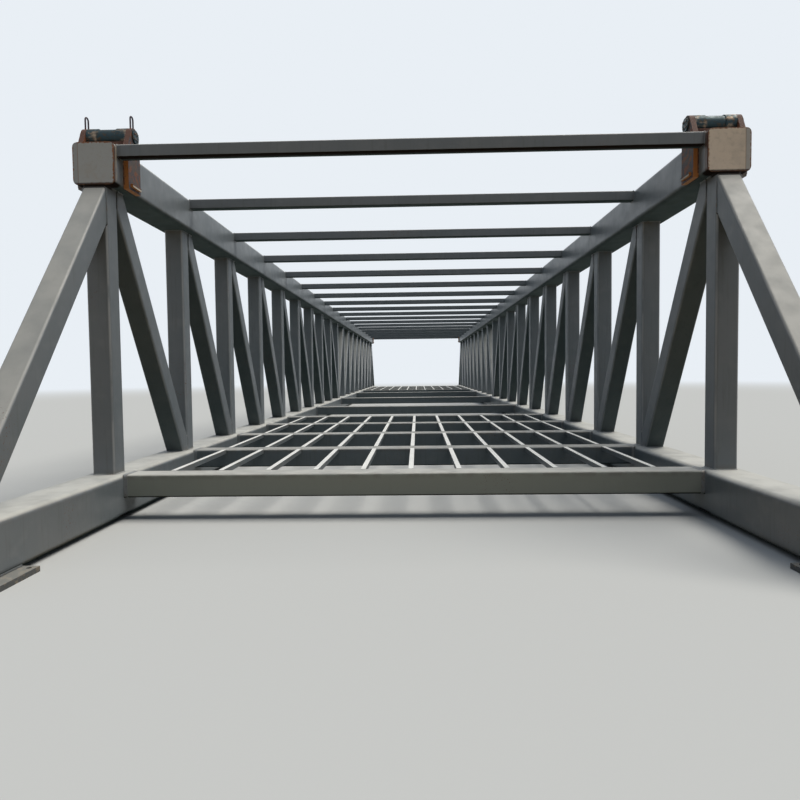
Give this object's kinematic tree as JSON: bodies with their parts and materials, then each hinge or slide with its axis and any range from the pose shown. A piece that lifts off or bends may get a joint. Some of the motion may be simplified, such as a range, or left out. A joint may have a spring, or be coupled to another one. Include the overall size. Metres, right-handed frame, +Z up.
{
  "type": "box truss pipe bridge",
  "caption": "Steel box truss bridge that carries pipes: square tube chords, Pratt web, floor beams with stringers, top struts and pinned lifting brackets.",
  "frame": {"origin": "on the ground plane under the middle of the span", "axes": "+X across the bridge to the right, +Y along the bridge away from the near end, +Z up"},
  "size_m": [6.54, 39.624, 3.965],
  "materials": {
    "steel_paint": "satin mid grey paint on hollow sections",
    "end_plate_paint": "dull beige grey primer with rust at the welds",
    "bracket_rust": "worn red brown paint with orange rust",
    "pin_steel": "dark oiled steel",
    "bearing_steel": "dark grey paint"
  },
  "bodies": {
    "root": {"bottom_chord_left": "steel_paint", "bottom_chord_right": "steel_paint", "top_chord_left": "steel_paint", "top_chord_right": "steel_paint", "verticals_left": "steel_paint", "verticals_right": "steel_paint", "diagonals_near_left": "steel_paint", "diagonals_near_right": "steel_paint", "diagonals_far_left": "steel_paint", "diagonals_far_right": "steel_paint", "end_post_near_left": "steel_paint", "end_post_near_right": "steel_paint", "end_post_far_left": "steel_paint", "end_post_far_right": "steel_paint", "floor_beams_near": "steel_paint", "floor_beam_near_quarter": "steel_paint", "floor_beam_middle": "steel_paint", "floor_beam_far_quarter": "steel_paint", "floor_beams_far": "steel_paint", "stringers_near": "steel_paint", "stringers_far": "steel_paint", "top_struts_near": "steel_paint", "top_strut_middle": "steel_paint", "top_struts_far": "steel_paint", "end_plates_near": "end_plate_paint", "end_plates_far": "end_plate_paint", "cheeks_near_left": "bracket_rust", "cheeks_near_right": "bracket_rust", "cheeks_far_left": "bracket_rust", "cheeks_far_right": "bracket_rust", "saddle_near_left": "bracket_rust", "saddle_near_right": "bracket_rust", "saddle_far_left": "bracket_rust", "saddle_far_right": "bracket_rust", "pin_near_left": "pin_steel", "pin_near_right": "pin_steel", "pin_far_left": "pin_steel", "pin_far_right": "pin_steel", "bearing_near_left": "bearing_steel", "bearing_near_right": "bearing_steel", "bearing_far_left": "bearing_steel", "bearing_far_right": "bearing_steel"}
  },
  "joints": []
}
